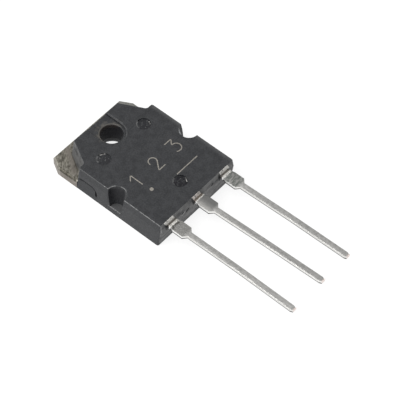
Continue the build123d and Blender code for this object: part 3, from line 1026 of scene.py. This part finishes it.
@dataclass(frozen=True)
class HeaderFinish(LeadFinish):
    """The header: a stained plate with a tinned lead."""

    bare: Tone = tone(142, 133, 125)
    sheen: Tone = tone(238, 237, 234)
    plate_light: Tone = tone(164, 160, 150)
    plate_dark: Tone = tone(112, 109, 100)
    stain_and_shade: Tone = tone(72, 69, 61)
    flank: Tone = tone(140, 133, 127)
    nose_shade_tone: Tone = tone(138, 132, 125)
    smooth: Tone = tone(150, 151, 148)
    pale: Tone = tone(206, 203, 196)
    plate_scale: float = 5200.0
    plate_stretch: Point = (2.6, 1.0, 1.0)
    plate_turn: float = 40.0
    plate_rough: Span = (0.45, 0.62)
    plate_start: float = -8.0
    flank_top: float = 1.1
    blotches: Patchy = Patchy(1500.0, 0.46, 0.66, strength=0.6)
    nose_shade_band: Stroke = Stroke(((-4.3, 10.5, 0.0), (-5.6, 8.35, 0.0), (-6.75, 6.9, 0.0)), 0.7, 0.75)
    side_edge: Stroke = Stroke(((-7.55, 8.8, 0.0), (-7.5, 6.0, 0.0)), 0.4, 0.9, Patchy(3000.0, 0.1, 0.5))
    foot: Stroke = Stroke(((-4.4, 9.6, 0.0), (-5.95, 7.1, 0.0)), 0.16, 0.7)
    cut_edge: Stroke = Stroke(((-6.55, 10.8, 0.0), (-7.68, 8.8, 0.0)), 0.2, 0.25)
    rub: Stroke = Stroke(((-7.2, 6.7, 1.3), (-7.7, 6.1, 1.0)), 0.3, 0.4, Patchy(3000.0, 0.4, 0.6))

    def paint(self, painter: Painter) -> None:
        """Paints the plate, then the lead's coat where the lead is.

        Args:
            painter: the material's nodes.
        """
        tin, tin_rough, tin_height, depth, tin_metal = self.coat(painter)
        fine, cloud = painter.grain(self.plate_scale, self.plate_stretch, self.plate_turn)
        plate = painter.mix(painter.swing(fine, reach=0.18), self.plate_dark, self.plate_light)
        plate = painter.layers(plate, self._traces(painter))
        inside = painter.remap(painter.y, self.plate_start, self.plate_start + 0.5)
        rough = painter.between(inside, tin_rough, painter.swing(cloud, *self.plate_rough))
        height = painter.between(inside, tin_height, fine)
        metal = painter.between(inside, tin_metal, 1.0)
        painter.dress(painter.mix(inside, tin, plate), rough, height, depth, metal)

    def _traces(self, painter: Painter) -> list[Layer]:
        """Stains and wear on the tab, with painted shade along the moulding's foot and on the near rolled edge.

        Args:
            painter: the material's nodes.

        Returns:
            Masks and their colours, in the order in which they are laid on.
        """
        steep = painter.remap(painter.levelness, 0.6, 0.4)
        below = painter.remap(painter.z, self.flank_top + 0.04, self.flank_top - 0.04)
        above = painter.remap(painter.z, self.flank_top - 0.1, self.flank_top)
        far = painter.remap(painter.x, 3.5, 5.5)
        back = painter.remap(painter.facing_z, -0.7, -0.9)
        return [
            (painter.patches(self.blotches), self.stain_and_shade),
            (painter.product(back, 0.6), self.smooth),
            # painted shade: a grey band along the moulding's foot
            (painter.product(painter.stroke(self.nose_shade_band, IN_PLAN), above), self.nose_shade_tone),
            (painter.product(far, above, 0.7), self.smooth),
            (painter.product(steep, below, 0.8), self.flank),
            # painted shade: the near rolled edge
            (painter.product(painter.stroke(self.side_edge, IN_PLAN), above), self.stain_and_shade),
            # painted shade: a dark line at the moulding's foot
            (painter.product(painter.stroke(self.foot, IN_PLAN), above), self.stain_and_shade),
            (painter.stroke(self.cut_edge, IN_PLAN), self.pale),
            (painter.stroke(self.rub), self.pale),
        ]


@dataclass(frozen=True)
class RimFinish(Finish):
    """Lumpy edge of the tin coat, dull on top and bright where it faces sideways."""

    dull: Tone = tone(172, 170, 164)
    light: Tone = tone(222, 220, 215)
    gleam: Tone = tone(250, 250, 248)
    crusted: Tone = tone(112, 110, 104)
    crust: Patchy = Patchy(3600.0, 0.5, 0.6, strength=0.7)
    scale: float = 5000.0
    gloss: Span = (0.25, 0.42)
    metallic: float = 0.2
    depth: float = 0.02

    def paint(self, painter: Painter) -> None:
        """Paints the lumps and the gleam.

        Args:
            painter: the material's nodes.
        """
        fine, coarse = painter.grain(self.scale)
        side = painter.remap(painter.levelness, 0.6, 0.3)
        ground = painter.mix(painter.swing(fine), self.dull, self.light)
        colour = painter.layers(ground, [(painter.patches(self.crust), self.crusted), (side, self.gleam)])
        painter.dress(colour, painter.swing(coarse, *self.gloss), coarse, self.depth, self.metallic)


@dataclass(frozen=True)
class GrainFinish(Finish):
    """A plain metal or ink with grain in its colour, gloss and relief."""

    dark: Tone
    light: Tone
    gloss: Span
    scale: float
    metallic: float
    depth: float = 0.006

    def paint(self, painter: Painter) -> None:
        """Paints the grain.

        Args:
            painter: the material's nodes.
        """
        fine, coarse = painter.grain(self.scale)
        colour = painter.mix(painter.swing(fine), self.dark, self.light)
        painter.dress(colour, painter.swing(coarse, *self.gloss), fine, self.depth, self.metallic)


INK = GrainFinish("laser_mark", tone(112, 108, 102), tone(146, 141, 133), (0.6, 0.75), 7000.0, 0.0, 0.003)
SOLDER = GrainFinish("die_solder", tone(150, 151, 153), tone(190, 191, 192), (0.35, 0.5), 4000.0, 1.0)
SILICON = GrainFinish("silicon", tone(92, 94, 104), tone(112, 114, 124), (0.18, 0.26), 9000.0, 1.0, 0.002)
WIRE = GrainFinish("bond_wire", tone(205, 206, 208), tone(228, 229, 230), (0.25, 0.35), 12000.0, 1.0, 0.003)


def lay_on(node: str, material: bpy.types.Material) -> None:
    """Gives a CAD node its finish.

    Args:
        node: the node's name.
        material: the finish.
    """
    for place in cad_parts[node].material_slots:
        place.material = material
    LOG.info("dressed %s in %s", node, material.name)


def hand_over(piece: bpy.types.Object, material: bpy.types.Material) -> None:
    """Gives a new piece its finish and the body that it moves with.

    Args:
        piece: the finished piece.
        material: its finish.
    """
    piece.data.materials.clear()
    piece.data.materials.append(material)
    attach(piece, BODY)
    LOG.info("built %s with %d faces", piece.name, len(piece.data.polygons))


class Pen:
    """Draws flat strokes of one width by pulling an edge along."""

    dot_sides: int = 20

    def __init__(self, name: str, width: float, level: float) -> None:
        """Takes up the pen.

        Args:
            name: name of the drawn piece.
            width: stroke width in mm.
            level: height of the surface in mm.
        """
        self.name = name
        self.width = width
        self.level = level
        self.piece: bpy.types.Object | None = None
        self.spot = Vector((0.0, 0.0, 0.0))
        self.heading = 0.0

    def start(self, x: float, y: float, heading: float) -> None:
        """Sets the pen down with a square dab and picks the dab's front edge.

        Args:
            x: place in mm.
            y: place in mm.
            heading: direction in degrees, from +X towards +Y.
        """
        self.heading = math.radians(heading)
        self.spot = Vector((x, y, self.level)) * MM
        middle = self.spot - self._ahead() * (self.width * MM / 2)
        dab = {"size": self.width * MM, "location": middle, "rotation": (0, 0, self.heading)}
        if self.piece is None:
            bpy.ops.object.select_all(action="DESELECT")
            bpy.ops.mesh.primitive_plane_add(**dab)
            bpy.ops.object.transform_apply(location=True, rotation=True, scale=True)
            self.piece = bpy.context.active_object
            self.piece.name = self.name
            bpy.ops.object.mode_set(mode="EDIT")
            bpy.ops.mesh.select_all(action="SELECT")
        else:
            bpy.ops.mesh.select_all(action="DESELECT")
            bpy.ops.mesh.primitive_plane_add(**dab)
        self._pick_front()

    def run(self, length: float) -> None:
        """Pulls the edge straight on by a length in mm.

        Args:
            length: length in mm.
        """
        step = self._ahead() * (length * MM)
        bpy.ops.mesh.extrude_edges_move(TRANSFORM_OT_translate={"value": step})
        self.spot += step

    def turn(self, radius: float, angle: float, steps: int = 8) -> None:
        """Pulls the edge round an arc.

        Args:
            radius: radius of the stroke's middle in mm.
            angle: angle in degrees, positive to the left.
            steps: number of steps.
        """
        side = 1 if angle > 0 else -1
        across = Vector((-math.sin(self.heading), math.cos(self.heading), 0.0)) * (side * radius * MM)
        centre = self.spot + across
        bpy.ops.mesh.spin(steps=steps, angle=-math.radians(angle), center=centre, axis=(0, 0, 1))
        self.spot = centre + Matrix.Rotation(math.radians(angle), 3, "Z") @ -across
        self.heading += math.radians(angle)

    def dot(self, x: float, y: float, radius: float) -> None:
        """Sets a round dot.

        Args:
            x: place in mm.
            y: place in mm.
            radius: radius in mm.
        """
        bpy.ops.mesh.select_all(action="DESELECT")
        circle = {"vertices": self.dot_sides, "radius": radius * MM, "location": metres((x, y, self.level))}
        bpy.ops.mesh.primitive_circle_add(fill_type="NGON", **circle)
        bpy.ops.mesh.inset(thickness=radius * MM / 3)

    def lift(self, thickness: float) -> bpy.types.Object:
        """Ends the drawing and gives the ink its thickness.

        Args:
            thickness: thickness in mm.

        Returns:
            The finished piece.
        """
        mesh = bmesh.from_edit_mesh(self.piece.data)
        bpy.ops.mesh.select_mode(type="FACE")
        bpy.ops.mesh.select_all(action="DESELECT")
        for face in mesh.faces:
            face.normal_update()
            face.select_set(face.normal.z < 0)
        bmesh.update_edit_mesh(self.piece.data)
        bpy.ops.mesh.flip_normals()
        bpy.ops.mesh.select_mode(type="VERT")
        bpy.ops.object.mode_set(mode="OBJECT")
        wall = self.piece.modifiers.new("ink", "SOLIDIFY")
        wall.thickness = thickness * MM
        wall.offset = 1.0
        bpy.ops.object.modifier_apply(modifier=wall.name)
        return self.piece

    def _ahead(self) -> Vector:
        """Unit vector of the pen's direction."""
        return Vector((math.cos(self.heading), math.sin(self.heading), 0.0))

    def _pick_front(self) -> None:
        """Selects only the front edge of the dab that was just set down."""
        mesh = bmesh.from_edit_mesh(self.piece.data)
        ahead = self._ahead()
        chosen = sorted((v for v in mesh.verts if v.select), key=lambda v: v.co.dot(ahead))[-2:]
        for part in (*mesh.faces, *mesh.edges, *mesh.verts):
            part.select = False
        for vertex in chosen:
            vertex.select = True
        mesh.select_flush(True)
        bmesh.update_edit_mesh(self.piece.data)


@dataclass
class FrontMarks:
    """Plain lead numbers, a rule and a dot on the front face; the numbers are drawn in shares of their height."""

    level: float = FRONT_LEVEL
    stroke: float = 0.15
    ink: float = 0.004
    height: float = 2.3
    baseline: float = -3.1
    pitch: float = 3.9
    corner: float = 0.09
    bow_steps: int = 14
    rule_place: Point = (0.7, -5.4, 4.0)
    dot_place: Point = (-3.6, -4.5, 0.28)

    def build(self) -> bpy.types.Object:
        """Draws the marks.

        Returns:
            The marks as one mesh.
        """
        pen = Pen("front_marks", self.stroke, self.level)
        self._one(pen, -self.pitch)
        self._two(pen, 0.0)
        self._three(pen, self.pitch)
        x, y, length = self.rule_place
        pen.start(x, y, 0.0)
        pen.run(length)
        pen.dot(*self.dot_place)
        return pen.lift(self.ink)

    def _one(self, pen: Pen, x: float) -> None:
        """Draws a 1 about x.

        Args:
            pen: the pen.
            x: place of the number's middle in mm.
        """
        high = self.height
        pen.start(x - 0.22 * high, self.baseline + 0.74 * high, 45.0)
        pen.run(0.28 * high)
        pen.turn(self.corner, -135.0)
        pen.run(0.9 * high)

    def _two(self, pen: Pen, x: float) -> None:
        """Draws a 2 about x.

        Args:
            pen: the pen.
            x: place of the number's middle in mm.
        """
        high = self.height
        bow = 0.27 * high
        pen.start(x - bow, self.baseline + 0.7 * high, 90.0)
        pen.turn(bow, -220.0, self.bow_steps)
        pen.run(0.62 * high)
        pen.turn(self.corner, 130.0)
        pen.run(0.5 * high)

    def _three(self, pen: Pen, x: float) -> None:
        """Draws a 3 about x.

        Args:
            pen: the pen.
            x: place of the number's middle in mm.
        """
        high = self.height
        bow = 0.31 * high
        pen.start(x - 0.25 * high, self.baseline + high, 0.0)
        pen.run(0.44 * high)
        pen.turn(self.corner, -135.0)
        pen.run(0.3 * high)
        pen.turn(self.corner, 135.0)
        pen.turn(bow, -225.0, self.bow_steps)

    def dress(self, piece: bpy.types.Object, effects: Effects) -> None:
        """Gives the marks their ink."""
        hand_over(piece, INK.make(effects))


@dataclass
class Moulding:
    """The moulded body with its marks."""

    node: str = "moulded_body"

    def dress(self, effects: Effects) -> None:
        """Gives the body its finish and draws the marks on it.

        Args:
            effects: the shared node groups.
        """
        lay_on(self.node, MouldingFinish("black_epoxy").make(effects))
        marks = FrontMarks()
        marks.dress(marks.build(), effects)


@dataclass
class LeadFrame:
    """The header and the outer leads, with the rims where their tin coat starts."""

    header: str = "header_tab"
    outer: tuple[str, str] = ("base_lead", "emitter_lead")
    middle: float = 3.62
    thickness: float = 0.56
    width: float = 1.62
    rim_y: float = -10.0
    rim_length: float = 0.2
    rim_swell: float = 0.035
    rim_bevel: float = 0.06
    smooth_below: float = 40.0

    def dress(self, effects: Effects) -> None:
        """Gives the strip its finishes.

        Args:
            effects: the shared node groups.
        """
        lay_on(self.header, HeaderFinish("stained_header").make(effects))
        coat = LeadFinish("tinned_lead").make(effects)
        for node in self.outer:
            lay_on(node, coat)
        tin = RimFinish("rim_tin").make(effects)
        first = self._rim()
        hand_over(first, tin)
        for steps in (1, 2):
            hand_over(self._copy(first, steps), tin)

    def _rim(self) -> bpy.types.Object:
        """Models the rim on the first lead: a collar with swollen, rounded faces.

        Returns:
            The rim.
        """
        bpy.ops.object.select_all(action="DESELECT")
        place = metres((-LEAD_PITCH, self.rim_y, self.middle))
        bpy.ops.mesh.primitive_cube_add(size=1.0, location=place)
        rim = bpy.context.active_object
        rim.name = "tin_rim_1"
        swell = 2 * self.rim_swell
        rim.scale = metres((self.width + swell, self.rim_length, self.thickness + swell))
        bpy.ops.object.transform_apply(location=True, rotation=True, scale=True)
        bpy.ops.object.mode_set(mode="EDIT")
        bpy.ops.mesh.select_all(action="SELECT")
        bpy.ops.mesh.bevel(offset=self.rim_bevel * MM, offset_type="OFFSET", segments=3, profile=0.5)
        bpy.ops.object.mode_set(mode="OBJECT")
        bpy.ops.object.shade_smooth_by_angle(angle=math.radians(self.smooth_below))
        return rim

    def _copy(self, first: bpy.types.Object, steps: int) -> bpy.types.Object:
        """Copies the rim to another lead.

        Args:
            first: the modelled rim.
            steps: how many leads further on.

        Returns:
            The copy, with its own mesh.
        """
        piece = first.copy()
        piece.data = first.data.copy()
        piece.name = f"tin_rim_{steps + 1}"
        bpy.context.scene.collection.objects.link(piece)
        piece.data.transform(Matrix.Translation((steps * LEAD_PITCH * MM, 0.0, 0.0)))
        return piece


@dataclass
class ChipStack:
    """The die, its solder and its wires, inside the moulding."""

    solder: str = "die_solder"
    die: str = "silicon_die"
    wires: tuple[str, str] = ("base_wire", "emitter_wires")

    def dress(self, effects: Effects) -> None:
        """Gives the inner pieces their finishes.

        Args:
            effects: the shared node groups.
        """
        lay_on(self.solder, SOLDER.make(effects))
        lay_on(self.die, SILICON.make(effects))
        wire = WIRE.make(effects)
        for node in self.wires:
            lay_on(node, wire)


@dataclass
class Studio:
    """Floor, light and camera; its sizes are in metres, and the lens and sensor in mm."""

    floor_size: float = 1.6
    floor_gap: float = 0.00002
    floor_glow: float = 0.84
    floor_shown: float = 0.2
    floor_lit: float = 0.8
    sky_top: float = 0.5
    sky_rim: float = 0.85
    sky_fade: Span = (0.1, 0.75)
    lamp_place: Point = (-0.16, 0.06, 0.3)
    lamp_size: float = 0.24
    lamp_watts: float = 1.1
    eye: Point = (-0.12512, -0.1125, 0.22335)
    right: Point = (0.65223, -0.75781, 0.01785)
    down: Point = (-0.60379, -0.53361, -0.5922)
    ahead: Point = (0.4583, 0.37547, -0.80559)
    lens: float = 182.67
    sensor: float = 36.0
    clip_start: float = 0.01

    def build(self) -> None:
        """Builds the studio and reports it."""
        bpy.context.scene.view_settings.view_transform = "Standard"
        self._floor()
        self._sky()
        self._lamp()
        self._camera()
        LOG.info("built the studio")

    @staticmethod
    def _seen(graph: NodeGraph) -> Socket:
        """Gives 1 on rays that show the background as it is.

        Args:
            graph: the nodes to add to.

        Returns:
            The mask.
        """
        path = graph.add("ShaderNodeLightPath")
        kinds = ("Is Camera Ray", "Is Glossy Ray", "Is Transmission Ray")
        return graph.chain(Calc.HIGHEST, *[path.outputs[kind] for kind in kinds])

    @staticmethod
    def _diffuse(graph: NodeGraph, level: float) -> Socket:
        """Adds a plain grey shader."""
        return graph.add("ShaderNodeBsdfDiffuse", {"Color": (level, level, level, 1.0)}).outputs[0]

    @staticmethod
    def _choice(graph: NodeGraph, share: Socket, first: Socket, second: Socket) -> Socket:
        """Mixes two shaders by the share of the second."""
        return graph.add("ShaderNodeMixShader", {0: share, 1: first, 2: second}).outputs[0]

    def _floor(self) -> None:
        """Lays a white floor that keeps a soft shadow and is clear from below."""
        bpy.ops.object.select_all(action="DESELECT")
        bpy.ops.mesh.primitive_plane_add(size=self.floor_size, location=(0, 0, -self.floor_gap))
        floor = bpy.context.active_object
        floor.name = "floor"
        material = bpy.data.materials.new("studio_floor")
        material.use_nodes = True
        graph = NodeGraph(material.node_tree)
        glow = graph.add("ShaderNodeEmission", {"Strength": self.floor_glow}).outputs[0]
        shown = graph.add("ShaderNodeAddShader", {0: glow, 1: self._diffuse(graph, self.floor_shown)}).outputs[0]
        above = self._choice(graph, self._seen(graph), self._diffuse(graph, self.floor_lit), shown)
        below = graph.add("ShaderNodeBsdfTransparent").outputs[0]
        behind = graph.add("ShaderNodeNewGeometry").outputs["Backfacing"]
        graph.add("ShaderNodeOutputMaterial", {"Surface": self._choice(graph, behind, above, below)})
        floor.data.materials.append(material)

    def _sky(self) -> None:
        """Makes a white backdrop and a soft sky that is paler at its rim."""
        world = bpy.data.worlds.new("studio_sky")
        world.use_nodes = True
        bpy.context.scene.world = world
        graph = NodeGraph(world.node_tree)
        up = graph.axes(graph.add("ShaderNodeTexCoord").outputs["Generated"])[2]
        level = graph.remap(up, *self.sky_fade, self.sky_rim, self.sky_top)
        white = {"Color": (1.0, 1.0, 1.0, 1.0)}
        sky = graph.add("ShaderNodeBackground", {**white, "Strength": level}).outputs[0]
        backdrop = graph.add("ShaderNodeBackground", white).outputs[0]
        seen = graph.add("ShaderNodeLightPath").outputs["Is Camera Ray"]
        graph.add("ShaderNodeOutputWorld", {"Surface": self._choice(graph, seen, sky, backdrop)})

    def _lamp(self) -> None:
        """Hangs one large soft lamp at the upper left."""
        bpy.ops.object.light_add(type="AREA", location=self.lamp_place)
        lamp = bpy.context.active_object
        lamp.name = "key_lamp"
        lamp.data.size = self.lamp_size
        lamp.data.energy = self.lamp_watts
        lamp.rotation_euler = (-Vector(self.lamp_place)).to_track_quat("-Z", "Y").to_euler()

    def _camera(self) -> None:
        """Sets the camera where the photograph was taken from."""
        bpy.ops.object.camera_add()
        camera = bpy.context.active_object
        camera.name = "view_camera"
        sides = [Vector(self.right), -Vector(self.down), -Vector(self.ahead)]
        turn = Matrix(sides).transposed().to_4x4()
        camera.matrix_world = Matrix.Translation(Vector(self.eye)) @ turn
        camera.data.lens = self.lens
        camera.data.sensor_width = self.sensor
        camera.data.clip_start = self.clip_start
        bpy.context.scene.camera = camera


def main() -> None:
    """Builds the scene in order."""
    logging.basicConfig(level=logging.INFO, format="%(name)s: %(message)s")
    effects = Effects()
    Moulding().dress(effects)
    LeadFrame().dress(effects)
    ChipStack().dress(effects)
    Studio().build()


if __name__ == "__main__":
    main()
